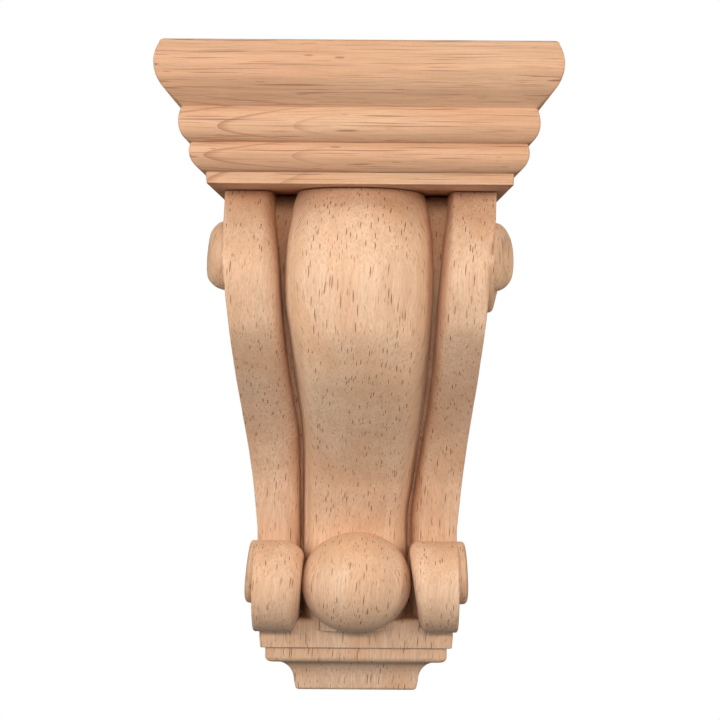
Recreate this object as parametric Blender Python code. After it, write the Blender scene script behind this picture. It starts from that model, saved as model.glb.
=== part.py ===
"""Carved wooden corbel: a moulded cap glued on a scrolled body, made to be fixed to a wall.

Metres, +Z up. The wall is the plane Y = 0 and the carving faces -Y, so a depth is how far a point
stands out from the wall. The origin is the middle of the back, half way up the corbel.
"""
from math import cos, exp, pi, sin

import bmesh
import bpy
import numpy as np

MM = 0.001

# Overall sizes
TOTAL_HEIGHT = 203.2 * MM
JOINT_GAP = 0.3 * MM  # glue line between the cap and the body

# Cap: a setback is how far a moulding stands back from the cap's widest line
CAP_WIDTH = 119.0 * MM
CAP_DEPTH = 100.0 * MM
CAP_HEIGHT = 40.9 * MM
FILLET_HEIGHT = 3.3 * MM
FILLET_SETBACK = 13.7 * MM
LOWER_ROLL_HEIGHT = 8.4 * MM
LOWER_ROLL_SETBACK = 9.4 * MM
LOWER_ROLL_REACH = 3.8 * MM
LOWER_ROLL_MIDDLE = 0.66  # share of the roll's height where it stands out furthest
UPPER_ROLL_HEIGHT = 10.4 * MM
UPPER_ROLL_SETBACK = 6.35 * MM
UPPER_ROLL_REACH = 3.4 * MM
UPPER_ROLL_MIDDLE = 0.55
BULLNOSE_START_SETBACK = 7.1 * MM
BULLNOSE_RADIUS = 11.5 * MM
BULLNOSE_DROP = 6.8 * MM  # from the top of the cap to the bullnose's widest line
TOP_EDGE_ROUND = 0.9 * MM

# Body: outline seen from the front
BODY_TOP_WIDTH = 85.8 * MM
NECK_WIDTH = 65.6 * MM
NECK_PLACE = 0.77  # share of the shank's height, from the top, where the taper ends

# Straps, grooves and lobe: depths from the wall and distances from the middle line
STRAP_TOP_DEPTH = 60.0 * MM
STRAP_BULGE_DEPTH = 80.0 * MM
STRAP_NECK_DEPTH = 27.8 * MM
LOBE_TOP_DEPTH = 74.5 * MM
LOBE_BULGE_DEPTH = 92.0 * MM
LOBE_NECK_DEPTH = 37.0 * MM
GROOVE_TOP_DEPTH = 45.0 * MM
GROOVE_BULGE_DEPTH = 63.5 * MM
GROOVE_NECK_DEPTH = 19.0 * MM
STRAP_EDGE_TOP = 29.6 * MM
STRAP_EDGE_NECK = 23.0 * MM
LOBE_EDGE_TOP = 20.9 * MM
LOBE_EDGE_BULGE = 23.4 * MM
LOBE_EDGE_NECK = 17.3 * MM
GROOVE_FLOOR_TOP = 7.9 * MM  # width of the groove's flat floor under the cap
GROOVE_FLOOR_NECK = 0.6 * MM
LOBE_ROUND = 2.5  # power of the lobe's rounded section
STRAP_ROUND = 1.5  # power of the strap's rounded inner side

# Lower scroll rolls and the ball between them
ROLL_RADIUS = 14.2 * MM
ROLL_DEPTH = 36.0 * MM  # of the roll's axis
ROLL_WIDTH = 66.0 * MM  # over both rolls
ROLL_FACE_EDGE = 22.8 * MM  # from the middle line to the inner edge of the roll's face
ROLL_INNER_TOP = 17.6 * MM  # from the middle line to the roll's inner end, at its top
ROLL_INNER_BOTTOM = 20.6 * MM
ROLL_INNER_DROP = 5.0 * MM  # how far the roll's inner side falls from its face
BALL_HALF_WIDTH = 17.7 * MM
BALL_HALF_DEPTH = 17.0 * MM
BALL_HALF_HEIGHT = 16.2 * MM
BALL_DEPTH = 38.0 * MM  # of the ball's middle

# Volutes on the sides
UPPER_EYE_PLACE = 0.146  # share of the shank's height, from the top
UPPER_EYE_DEPTH = 56.0 * MM
UPPER_EYE_RADIUS = 10.5 * MM
UPPER_EYE_FRONT_RISE = 4.8 * MM
UPPER_EYE_REAR_RISE = 7.6 * MM
EYE_DISH = 1.8 * MM
EYE_DISH_SHARE = 0.68  # of the eye's radius
EYE_ROUND = 2.3  # power of the eye's domed section
COIL_START_RADIUS = 23.5 * MM
COIL_TIGHTENING = 0.17  # the coil's radius falls by this share for each radian
COIL_RISE = 2.05 * MM  # at one radian
COIL_EASING = 0.7  # power of the angle that the coil's rise follows
LOWER_EYE_DROP = 4.0 * MM  # from the roll's axis up to the lower eye's middle
LOWER_EYE_RADIUS = 9.4 * MM
LOWER_EYE_TOP_RISE = 0.4 * MM
LOWER_EYE_BOTTOM_RISE = 3.5 * MM
BEDDING = 3.0 * MM  # how far an applied form reaches into the wood behind it

# Foot
FOOT_WIDTH = 63.2 * MM
FOOT_DEPTH = 33.0 * MM
FOOT_RISE = 6.8 * MM  # the foot's face goes on up between the rolls
RISE_SETBACK = 0.3 * MM
FOOT_LAP = 1.0 * MM  # how far the foot's top reaches up behind the rolls
FOOT_BAND_HEIGHT = 6.0 * MM
FOOT_FILLET_HEIGHT = 4.4 * MM
FOOT_FILLET_SETBACK = 2.2 * MM
FOOT_FILLET_ROUND = 1.4 * MM
COVE_HEIGHT = 8.2 * MM
COVE_TOP_SETBACK = 5.3 * MM
COVE_BOTTOM_SETBACK = 11.7 * MM
FOOT_BASE_HEIGHT = 3.1 * MM
FOOT_BASE_ROUND = 0.8 * MM
LEDGE_FALL = 0.1 * MM  # slope of the foot's narrow ledges
SAWN_OFF = 4.0 * MM  # rough wood behind the wall's plane, sawn off at the end

# Mesh fineness
SHANK_ROWS = 42
ARC_STEPS = 7
LOBE_STEPS = 6
STRAP_STEPS = 4
ROLL_SEGMENTS = 32
BALL_SEGMENTS = 36
BALL_RINGS = 16
BALL_POLE = 86 * pi / 180  # latitude of the small flat at each pole
EYE_SEGMENTS = 28
COIL_STEPS = 18

WOOD_COLOUR = (0.74, 0.48, 0.30, 1.0)
CAP_COLOUR = (0.76, 0.47, 0.28, 1.0)
WOOD_ROUGHNESS = 0.6

# Heights worked out from the sizes above
TOP = TOTAL_HEIGHT / 2
BOTTOM = -TOTAL_HEIGHT / 2
CAP_UNDERSIDE = TOP - CAP_HEIGHT
BODY_TOP = CAP_UNDERSIDE - JOINT_GAP
FOOT_TOP = BOTTOM + FOOT_BASE_HEIGHT + COVE_HEIGHT + FOOT_FILLET_HEIGHT + FOOT_BAND_HEIGHT
SHANK_HEIGHT = CAP_UNDERSIDE - FOOT_TOP
ROLL_MIDDLE = FOOT_TOP + ROLL_RADIUS
BALL_MIDDLE = FOOT_TOP + BALL_HALF_HEIGHT


def clear_scene():
    for obj in list(bpy.data.objects):
        bpy.data.objects.remove(obj, do_unlink=True)


def wood(name, colour):
    """Bare sanded wood in one colour."""
    material = bpy.data.materials.new(name)
    material.use_nodes = True
    shader = material.node_tree.nodes["Principled BSDF"]
    shader.inputs["Base Color"].default_value = colour
    shader.inputs["Roughness"].default_value = WOOD_ROUGHNESS
    shader.inputs["Metallic"].default_value = 0.0
    return material


def place(x, depth, z):
    """A point given by its depth from the wall."""
    return (x, -depth, z)


def add_object(name, rings, closed_path=False):
    """A solid skinned over rings of points, each ring closed, with a flat face at both ends.

    With closed_path the last ring joins the first and there are no end faces.
    """
    mesh = bmesh.new()
    loops = [[mesh.verts.new(point) for point in ring] for ring in rings]
    pairs = list(zip(loops, loops[1:]))
    if closed_path:
        pairs.append((loops[-1], loops[0]))
    for lower, upper in pairs:
        count = len(lower)
        for i in range(count):
            j = (i + 1) % count
            mesh.faces.new((lower[i], lower[j], upper[j], upper[i]))
    if not closed_path:
        mesh.faces.new(loops[0][::-1])
        mesh.faces.new(loops[-1])
    bmesh.ops.remove_doubles(mesh, verts=mesh.verts, dist=0.00001)
    bmesh.ops.triangulate(mesh, faces=mesh.faces)
    bmesh.ops.recalc_face_normals(mesh, faces=mesh.faces)
    data = bpy.data.meshes.new(name)
    mesh.to_mesh(data)
    mesh.free()
    obj = bpy.data.objects.new(name, data)
    bpy.context.scene.collection.objects.link(obj)
    return obj


def combine(body, form, operation):
    """Unite a form with the body, or cut it away, and remove the form."""
    boolean = body.modifiers.new("combine", "BOOLEAN")
    boolean.operation = operation
    boolean.solver = "EXACT"
    boolean.object = form
    bpy.context.view_layer.objects.active = body
    bpy.ops.object.modifier_apply(modifier=boolean.name)
    bpy.data.objects.remove(form, do_unlink=True)


def join(body, form):
    combine(body, form, "UNION")


def through(stations, at):
    """Smooth curve through (place, value) stations, read at a place.

    Cubic pieces; the slope at a station is the harmonic mean of the slopes on its two sides, and
    zero where they differ in sign and at both ends of the list.
    """
    places = [station[0] for station in stations]
    values = [station[1] for station in stations]
    at = min(max(at, places[0]), places[-1])
    steps = [(values[i + 1] - values[i]) / (places[i + 1] - places[i]) for i in range(len(places) - 1)]

    def slope(i):
        if i in (0, len(places) - 1):
            return steps[0] if i == 0 else 0.0
        before, after = steps[i - 1], steps[i]
        return 2 * before * after / (before + after) if before * after > 0 else 0.0

    i = max(k for k in range(len(steps)) if at >= places[k] or k == 0)
    span = places[i + 1] - places[i]
    s = (at - places[i]) / span
    return (
        values[i] * (1 + 2 * s) * (1 - s) ** 2
        + values[i + 1] * (3 - 2 * s) * s**2
        + span * (slope(i) * s * (1 - s) ** 2 - slope(i + 1) * s**2 * (1 - s))
    )


def mix(a, b, share):
    return a + (b - a) * share


# Curves down the shank: the place is the share of the shank's height from the top
def strap_depth(t):
    top, bulge, neck = STRAP_TOP_DEPTH, STRAP_BULGE_DEPTH, STRAP_NECK_DEPTH
    return through(
        [(0.0, top), (0.09, mix(top, bulge, 0.64)), (0.19, bulge), (0.29, mix(neck, bulge, 0.93)),
         (0.39, mix(neck, bulge, 0.70)), (0.49, mix(neck, bulge, 0.39)), (0.58, mix(neck, bulge, 0.16)),
         (0.67, mix(neck, bulge, 0.03)), (0.78, neck)], t)


def lobe_depth(t):
    top, bulge, neck = LOBE_TOP_DEPTH, LOBE_BULGE_DEPTH, LOBE_NECK_DEPTH
    return through(
        [(0.0, top), (0.09, mix(top, bulge, 0.66)), (0.20, bulge), (0.30, mix(neck, bulge, 0.96)),
         (0.39, mix(neck, bulge, 0.82)), (0.49, mix(neck, bulge, 0.57)), (0.58, mix(neck, bulge, 0.32)),
         (0.67, mix(neck, bulge, 0.12)), (0.78, neck)], t)


def groove_depth(t):
    top, bulge, neck = GROOVE_TOP_DEPTH, GROOVE_BULGE_DEPTH, GROOVE_NECK_DEPTH
    return through(
        [(0.0, top), (0.09, mix(top, bulge, 0.5)), (0.22, bulge), (0.32, mix(neck, bulge, 0.93)),
         (0.39, mix(neck, bulge, 0.76)), (0.49, mix(neck, bulge, 0.44)), (0.58, mix(neck, bulge, 0.19)),
         (0.67, mix(neck, bulge, 0.04)), (0.76, neck)], t)


def strap_edge(t):
    top, neck = STRAP_EDGE_TOP, STRAP_EDGE_NECK
    return through(
        [(0.0, top), (0.12, mix(neck, top, 0.76)), (0.26, mix(neck, top, 0.60)), (0.36, mix(neck, top, 0.575)),
         (0.46, mix(neck, top, 0.44)), (0.54, mix(neck, top, 0.30)), (0.62, mix(neck, top, 0.08)),
         (0.70, neck), (0.78, neck)], t)


def lobe_edge(t):
    top, bulge, neck = LOBE_EDGE_TOP, LOBE_EDGE_BULGE, LOBE_EDGE_NECK
    return through(
        [(0.0, top), (0.08, mix(top, bulge, 0.6)), (0.18, bulge), (0.27, mix(neck, bulge, 0.90)),
         (0.38, mix(neck, bulge, 0.28)), (0.46, mix(neck, bulge, 0.15)), (0.56, mix(neck, bulge, 0.13)),
         (0.67, mix(neck, bulge, 0.07)), (0.76, neck)], t)


def groove_floor(t):
    top, neck = GROOVE_FLOOR_TOP, GROOVE_FLOOR_NECK
    return through([(0.0, top), (0.08, mix(neck, top, 0.45)), (0.18, mix(neck, top, 0.06)), (0.4, neck)], t)


def half_width(t):
    """The sides taper in a straight line down to the neck, and are upright below it."""
    return mix(BODY_TOP_WIDTH, NECK_WIDTH, min(t / NECK_PLACE, 1.0)) / 2


def share_down(z):
    return (CAP_UNDERSIDE - z) / SHANK_HEIGHT


def rounded_fall(share, power):
    """Share of the whole fall at a share of the way across a rounded side."""
    return 1 - (1 - share**power) ** (1 / power)


def half_section(t):
    """Front of one half of the shank, from its outer edge to the middle: (distance, depth) points."""
    outer, edge, lobe = half_width(t), strap_edge(t), lobe_edge(t)
    floor = groove_depth(t)
    groove_edge = min(lobe + groove_floor(t), edge - 0.4 * MM)
    face = strap_depth(t)
    points = [(outer, face), (mix(outer, edge, 0.5), face)]
    for i in range(STRAP_STEPS + 1):
        share = i / STRAP_STEPS
        points.append((mix(edge, groove_edge, share), mix(face, floor, rounded_fall(share, STRAP_ROUND))))
    crown = lobe_depth(t)
    for i in range(LOBE_STEPS + 1):
        angle = (pi / 2) * i / LOBE_STEPS
        across = cos(angle) ** (2 / LOBE_ROUND)
        up = sin(angle) ** (2 / LOBE_ROUND)
        points.append((lobe * across, mix(floor, crown, up)))
    return points


def full_ring(half, z):
    """A closed ring from one half of a front, mirrored, with a straight rough back behind the wall."""
    right = [place(x, depth, z) for x, depth in half]
    left = [place(-x, depth, z) for x, depth in half[-2::-1]]
    outer = half[0][0]
    return right + left + [place(-outer, -SAWN_OFF, z), place(outer, -SAWN_OFF, z)]


def block_ring(half, front, back, z):
    """A level rectangle between two depths."""
    return [place(half, front, z), place(-half, front, z), place(-half, back, z), place(half, back, z)]


def foot_profile():
    """(setback, height) points of the foot, from the bottom of its band down to its base."""
    band_bottom = FOOT_TOP - FOOT_BAND_HEIGHT
    fillet_bottom = band_bottom - FOOT_FILLET_HEIGHT
    cove_bottom = fillet_bottom - COVE_HEIGHT
    points = [(0.0, band_bottom), (FOOT_FILLET_SETBACK, band_bottom - LEDGE_FALL)]
    for i in range(5):
        angle = (pi / 2) * i / 4
        points.append((FOOT_FILLET_SETBACK + FOOT_FILLET_ROUND * (1 - cos(angle)),
                       fillet_bottom + FOOT_FILLET_ROUND * (1 - sin(angle))))
    for i in range(ARC_STEPS + 1):
        angle = (pi / 2) * i / ARC_STEPS
        points.append((mix(COVE_TOP_SETBACK, COVE_BOTTOM_SETBACK, sin(angle)),
                       mix(cove_bottom, fillet_bottom - LEDGE_FALL, cos(angle))))
    for i in range(4):
        angle = (pi / 2) * i / 3
        points.append((COVE_BOTTOM_SETBACK + FOOT_BASE_ROUND * (1 - cos(angle)),
                       BOTTOM + FOOT_BASE_ROUND * (1 - sin(angle))))
    return points


def make_shank():
    """Straps, grooves and lobe as a stack of level sections, down to the top of the foot."""
    first = share_down(BODY_TOP)
    rings = []
    for row in range(SHANK_ROWS + 1):
        t = mix(first, 1.0, row / SHANK_ROWS)
        rings.append(full_ring(half_section(t), CAP_UNDERSIDE - t * SHANK_HEIGHT))
    return add_object("body", rings)


def make_foot():
    """The foot's mouldings, carried round three sides."""
    profile = [(0.0, FOOT_TOP + FOOT_LAP)] + foot_profile()
    rings = [block_ring(FOOT_WIDTH / 2 - setback, FOOT_DEPTH - setback, -2 * SAWN_OFF, z)
             for setback, z in profile]
    return add_object("foot", rings)


def make_rise():
    """The foot's face going on up between the rolls, behind the ball."""
    front = FOOT_DEPTH - RISE_SETBACK
    rings = [block_ring(ROLL_INNER_BOTTOM, front, BEDDING, z) for z in (FOOT_TOP, FOOT_TOP + FOOT_RISE)]
    return add_object("rise", rings)


def make_roll(side):
    """A lower scroll roll: a level cylinder with a rounded inner side and a slanting inner end."""
    outer = ROLL_WIDTH / 2
    stations = [(outer, 0.0), (ROLL_FACE_EDGE, 0.0)]
    for i in range(1, 5):
        share = i / 4
        stations.append((mix(ROLL_FACE_EDGE, ROLL_INNER_TOP, share),
                         ROLL_INNER_DROP * rounded_fall(share, STRAP_ROUND)))
    rings = []
    for x, fall in stations:
        radius = ROLL_RADIUS - fall
        inward = (ROLL_FACE_EDGE - x) / (ROLL_FACE_EDGE - ROLL_INNER_TOP)
        ring = []
        for k in range(ROLL_SEGMENTS):
            angle = 2 * pi * k / ROLL_SEGMENTS
            z = ROLL_MIDDLE + radius * sin(angle)
            low = (ROLL_MIDDLE + ROLL_RADIUS - z) / (2 * ROLL_RADIUS)
            slant = max(inward, 0.0) * low * (ROLL_INNER_BOTTOM - ROLL_INNER_TOP)
            ring.append(place(side * (x + slant), ROLL_DEPTH + radius * cos(angle), z))
        rings.append(ring)
    return add_object("roll", rings)


def make_ball():
    """The ball between the rolls: an egg shape, wider than it is high, with its poles fore and aft."""
    rings = []
    for row in range(BALL_RINGS + 1):
        latitude = mix(-BALL_POLE, BALL_POLE, row / BALL_RINGS)
        ring = []
        for k in range(BALL_SEGMENTS):
            angle = 2 * pi * k / BALL_SEGMENTS
            ring.append(place(BALL_HALF_WIDTH * cos(latitude) * cos(angle),
                              BALL_DEPTH + BALL_HALF_DEPTH * sin(latitude),
                              BALL_MIDDLE + BALL_HALF_HEIGHT * cos(latitude) * sin(angle)))
        rings.append(ring)
    return add_object("ball", rings)


def side_point(side, depth, z, rise):
    """A point that stands out from the body's tapered side."""
    return place(side * (half_width(share_down(z)) + rise), depth, z)


def make_eye(side, depth, z, radius, rise_at):
    """A volute's eye: a domed button with a dished middle; rise_at gives its tilted height."""
    shares = [0.12, 0.3, 0.45, EYE_DISH_SHARE, 0.8, 0.9, 0.97, 1.0, 1.0]
    rings = []
    for index, share in enumerate(shares):
        dome = (1 - min(share, 1.0) ** EYE_ROUND) ** (1 / EYE_ROUND)
        hollow = max(1 - (share / EYE_DISH_SHARE) ** 2, 0.0) ** 1.5 * EYE_DISH
        ring = []
        for k in range(EYE_SEGMENTS):
            angle = 2 * pi * k / EYE_SEGMENTS
            across, up = radius * share * cos(angle), radius * share * sin(angle)
            rise = rise_at(across / radius, up / radius) * dome - hollow
            if index == len(shares) - 1:
                rise = -BEDDING
            ring.append(side_point(side, depth + across, z + up, rise))
        rings.append(ring)
    return add_object("eye", rings)


def upper_eye_rise(across, up):
    """The upper eye leans forward: it stands out furthest towards the wall."""
    return mix(UPPER_EYE_REAR_RISE, UPPER_EYE_FRONT_RISE, (across + 1) / 2)


def lower_eye_rise(across, up):
    """The lower eye starts flush at its top and stands out furthest at its bottom."""
    return mix(LOWER_EYE_BOTTOM_RISE, LOWER_EYE_TOP_RISE, (up + 1) / 2) * 1.15


def upper_eye_height():
    return CAP_UNDERSIDE - UPPER_EYE_PLACE * SHANK_HEIGHT


def make_coil(side):
    """The upper volute's coil: a spiral ramp that starts flush at the strap's face, passes under
    the eye and behind it, tightens by a fixed share for each radian and climbs to the eye's rim."""
    middle = upper_eye_height()
    turn = 1.5 * pi
    rings = []
    for step in range(COIL_STEPS + 1):
        angle = mix(0.1, turn, step / COIL_STEPS)
        outer = COIL_START_RADIUS * exp(-COIL_TIGHTENING * angle)
        rise = COIL_RISE * angle**COIL_EASING
        rounding = min(0.55 * rise, 2.0 * MM)
        inner = UPPER_EYE_RADIUS * 0.6
        section = [(inner, -BEDDING), (outer, -BEDDING), (outer, rise - rounding),
                   (outer - 0.3 * rounding, rise - 0.3 * rounding), (outer - rounding, rise), (inner, rise)]
        rings.append([side_point(side, UPPER_EYE_DEPTH + radius * cos(angle), middle - radius * sin(angle), up)
                      for radius, up in section])
    return add_object("coil", rings)


def cap_profile():
    """(setback, height above the underside) points of the cap, from the underside to the top."""
    points = [(FILLET_SETBACK, 0.0), (FILLET_SETBACK, FILLET_HEIGHT)]
    start = FILLET_HEIGHT
    rolls = [(LOWER_ROLL_HEIGHT, LOWER_ROLL_SETBACK, LOWER_ROLL_REACH, LOWER_ROLL_MIDDLE),
             (UPPER_ROLL_HEIGHT, UPPER_ROLL_SETBACK, UPPER_ROLL_REACH, UPPER_ROLL_MIDDLE)]
    for height, setback, reach, middle in rolls:
        for i in range(2 * ARC_STEPS + 1):
            share = i / (2 * ARC_STEPS)
            lean = (share - middle) / middle if share < middle else (share - middle) / (1.6 * middle)
            points.append((setback + reach * (1 - (1 - min(lean**2, 1.0)) ** 0.5), start + share * height))
        start += height
    widest = CAP_HEIGHT - BULLNOSE_DROP
    slope_end = widest - BULLNOSE_RADIUS * sin(pi / 4)
    slope_setback = BULLNOSE_RADIUS * (1 - cos(pi / 4))
    points.append((BULLNOSE_START_SETBACK, slope_end - (BULLNOSE_START_SETBACK - slope_setback)))
    for i in range(2 * ARC_STEPS + 1):
        z = mix(slope_end, CAP_HEIGHT - TOP_EDGE_ROUND, i / (2 * ARC_STEPS))
        across = (BULLNOSE_RADIUS**2 - (z - widest) ** 2) ** 0.5
        points.append((BULLNOSE_RADIUS - across, z))
    edge = points[-1][0]
    for i in range(1, 4):
        angle = (pi / 2) * i / 3
        points.append((edge + TOP_EDGE_ROUND * (1 - cos(angle)), CAP_HEIGHT - TOP_EDGE_ROUND * (1 - sin(angle))))
    return points


def make_cap():
    """The cap's profile carried round the front and both sides, mitred at the corners."""
    rings = []
    for setback, height in cap_profile():
        half = CAP_WIDTH / 2 - setback
        depth = CAP_DEPTH - setback
        z = CAP_UNDERSIDE + height
        rings.append([place(-half, 0.0, z), place(-half, depth, z), place(half, depth, z), place(half, 0.0, z)])
    cap = add_object("cap", rings)
    cap.data.materials.append(wood("cap wood", CAP_COLOUR))
    return cap


def saw_back_flat(body):
    """Cut away all that reaches behind the wall's plane."""
    reach = TOTAL_HEIGHT
    rings = [[(x, y, z) for x, y in ((-reach, 0.0), (reach, 0.0), (reach, reach), (-reach, reach))]
             for z in (-reach, reach)]
    combine(body, add_object("saw", rings), "DIFFERENCE")


def make_body():
    body = make_shank()
    join(body, make_foot())
    join(body, make_rise())
    join(body, make_ball())
    lower_eye = ROLL_MIDDLE + LOWER_EYE_DROP
    for side in (1, -1):
        join(body, make_roll(side))
        join(body, make_coil(side))
        join(body, make_eye(side, UPPER_EYE_DEPTH, upper_eye_height(), UPPER_EYE_RADIUS, upper_eye_rise))
        join(body, make_eye(side, ROLL_DEPTH, lower_eye, LOWER_EYE_RADIUS, lower_eye_rise))
    saw_back_flat(body)
    body.data.materials.append(wood("body wood", WOOD_COLOUR))
    return body


clear_scene()
make_cap()
make_body()
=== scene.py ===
"""Carved wooden corbel: its moulded cap, its scrolled body, their bare wood and a pale studio.

Metres, +Z up. The wall is the plane Y = 0 and the carving faces -Y, so a depth is how far a point
stands out from the wall. The right side is +X. Lengths below are in millimetres where MM follows.
"""
from math import cos, pi, radians, sin

import bmesh
import bpy
import numpy as np
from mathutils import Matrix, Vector


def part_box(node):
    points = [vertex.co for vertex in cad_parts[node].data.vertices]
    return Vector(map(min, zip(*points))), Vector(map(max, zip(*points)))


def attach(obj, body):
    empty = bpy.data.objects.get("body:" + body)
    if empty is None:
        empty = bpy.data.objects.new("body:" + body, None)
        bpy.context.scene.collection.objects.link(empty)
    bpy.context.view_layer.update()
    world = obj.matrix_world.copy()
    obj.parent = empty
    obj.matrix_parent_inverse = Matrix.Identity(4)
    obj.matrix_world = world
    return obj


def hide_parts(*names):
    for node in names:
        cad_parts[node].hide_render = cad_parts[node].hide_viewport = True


bl_info = {
    "name": "Carved Wooden Corbel",
    "version": (1, 0, 0),
    "blender": (4, 5, 0),
    "location": "3D View > Sidebar > Corbel",
    "description": "Builds a carved corbel, its bare wood and a pale studio around it",
    "category": "Object",
}

MM = 0.001
RIGHT = 1
LEFT = -1

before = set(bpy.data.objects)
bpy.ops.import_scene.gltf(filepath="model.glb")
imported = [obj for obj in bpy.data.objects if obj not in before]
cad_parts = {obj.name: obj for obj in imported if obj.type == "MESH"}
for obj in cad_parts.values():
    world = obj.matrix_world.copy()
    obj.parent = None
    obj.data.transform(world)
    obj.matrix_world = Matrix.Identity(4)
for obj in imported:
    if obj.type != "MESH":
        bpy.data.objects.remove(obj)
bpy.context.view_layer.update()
CAP_LOW, CAP_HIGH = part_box("cap")
BODY_LOW, BODY_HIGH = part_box("body")

# Heights and overall sizes, from the frame
TOP = CAP_HIGH.z
BOTTOM = BODY_LOW.z
CAP_UNDERSIDE = CAP_LOW.z
BODY_TOP = BODY_HIGH.z
CAP_WIDTH = CAP_HIGH.x - CAP_LOW.x
CAP_DEPTH = -CAP_LOW.y
CAP_HEIGHT = TOP - CAP_UNDERSIDE

# Cap: a setback is how far a moulding stands back from the cap's widest line
FILLET_HEIGHT = 3.3 * MM
FILLET_SETBACK = 13.5 * MM
# Each roll in millimetres: its bottom, widest line and top above the cap's underside, its setback
# there, its reach, and the half heights of the ellipses below and above the widest line
LOWER_ROLL = (3.3, 9.0, 11.8, 9.2, 5.2, 5.7, 5.7)
UPPER_ROLL = (11.8, 17.4, 22.0, 6.35, 3.9, 5.6, 6.9)
BULLNOSE_START_SETBACK = 7.3 * MM
BULLNOSE_RADIUS = 11.5 * MM
BULLNOSE_DROP = 6.8 * MM  # from the top of the cap to the bullnose's widest line
TOP_EDGE_ROUND = 1.3 * MM
MITRE_ROUND = 0.7 * MM  # sanded radius of the corners
# Millimetres by which the left side is drawn in by hand sanding, at millimetres above the underside
CAP_LEFT_DRAWN_IN = ((0.0, 1.0), (4.0, 0.7), (10.0, 0.35), (22.0, 0.3), (30.0, 0.0), (40.0, 0.1),
                     (43.0, 0.5), (44.5, 1.2))

# Body: outline seen from the front
BODY_TOP_WIDTH = 85.8 * MM
NECK_WIDTH = 65.6 * MM
NECK_PLACE = 0.77  # share of the shank's height, from the top, where the taper ends
# Millimetres by which each side is drawn in from the straight taper, at shares of the height
SIDE_DRAWN_IN = {
    RIGHT: ((0.0, 0.15), (0.1, 0.1), (0.2, 0.15), (0.27, 0.3), (0.36, 0.2), (0.45, 0.0), (1.0, 0.0)),
    LEFT: ((0.0, 1.3), (0.04, 1.05), (0.1, 0.45), (0.16, 0.05), (0.3, -0.05), (0.42, -0.2), (0.5, -0.1),
           (0.58, 0.15), (0.68, 0.3), (0.8, 0.25), (0.9, 0.1), (1.0, 0.1)),
}

# Straps, grooves and lobe: depths from the wall under the cap, at the bulge and at the neck
STRAP_DEPTHS = (60.0 * MM, 80.0 * MM, 27.8 * MM)
LOBE_DEPTHS = (74.5 * MM, 92.0 * MM, 37.0 * MM)
GROOVE_DEPTHS = (38.0 * MM, 63.5 * MM, 19.0 * MM)

# How a depth runs down the shank: a place with its share of the way from the top's depth to the
# bulge's, then places with their shares of the way from the neck's depth to the bulge's
STRAP_RUN = ((0.09, 0.64), ((0.19, 1.0), (0.29, 0.93), (0.39, 0.70), (0.49, 0.39), (0.58, 0.16),
                            (0.67, 0.03), (0.78, 0.0)))
LOBE_RUN = ((0.09, 0.66), ((0.20, 1.0), (0.30, 0.96), (0.39, 0.82), (0.49, 0.57), (0.58, 0.32),
                           (0.67, 0.12), (0.78, 0.0)))
GROOVE_RUN = ((0.05, 0.6), ((0.22, 1.0), (0.32, 0.93), (0.39, 0.76), (0.49, 0.44), (0.58, 0.19),
                            (0.67, 0.04), (0.76, 0.0)))

# Distances from the middle line in millimetres, at shares of the shank's height from the top.
# They differ a little from side to side, as hand carving does.
STRAP_EDGE = {
    RIGHT: ((0.0, 29.6), (0.05, 29.0), (0.11, 28.7), (0.17, 28.5), (0.245, 27.8), (0.36, 27.0),
            (0.47, 26.2), (0.557, 24.4), (0.654, 21.8), (0.75, 21.4), (1.0, 21.4)),
    LEFT: ((0.0, 29.1), (0.05, 28.8), (0.17, 28.4), (0.245, 27.4), (0.386, 27.1), (0.47, 26.3),
           (0.557, 25.6), (0.624, 24.3), (0.70, 23.4), (0.78, 23.4), (1.0, 23.4)),
}
GROOVE_OUTER = {
    RIGHT: ((0.0, 28.5), (0.05, 27.6), (0.114, 26.3), (0.182, 25.2), (0.247, 24.4), (0.305, 24.0),
            (0.386, 23.4), (0.47, 22.7), (0.557, 21.2), (0.654, 19.3), (0.75, 17.8), (1.0, 17.8)),
    LEFT: ((0.0, 26.7), (0.05, 26.1), (0.114, 24.9), (0.182, 23.8), (0.247, 23.2), (0.305, 22.6),
           (0.386, 21.5), (0.47, 20.1), (0.557, 18.8), (0.624, 18.7), (0.70, 18.6), (1.0, 18.4)),
}
LOBE_EDGE = {
    RIGHT: ((0.0, 20.9), (0.06, 22.2), (0.114, 22.9), (0.2, 23.2), (0.305, 22.8), (0.386, 22.3),
            (0.47, 21.6), (0.557, 20.2), (0.654, 18.6), (0.75, 16.8), (1.0, 16.8)),
    LEFT: ((0.0, 19.6), (0.06, 20.9), (0.114, 21.9), (0.182, 22.4), (0.247, 22.2), (0.305, 21.3),
           (0.386, 20.3), (0.47, 19.0), (0.557, 17.9), (0.7, 18.0), (1.0, 17.8)),
}
LOBE_ROUND = {RIGHT: 2.15, LEFT: 2.8}  # power of the lobe's rounded section
# Lower down the lobe has a crease between its face and its flank: its place as a share of the
# half width and of the height, and how far the section has gone over to that form on its way down
LOBE_CREASE = {RIGHT: (0.77, 0.83), LEFT: (0.79, 0.86)}
LOBE_CREASED = ((0.0, 0.0), (0.24, 0.0), (0.34, 0.45), (0.45, 1.0), (0.62, 1.0), (0.76, 0.5), (1.0, 0.2))
CREASE_PLACE = 0.4  # along the lobe's columns
CREASE_SOFTNESS = 0.05
STRAP_ROUND = {RIGHT: 2.6, LEFT: 3.2}  # power of the strap's rounded inner side
STRAP_BEVEL = 0.13  # share of the inner side's fall that is a straight slope
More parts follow.
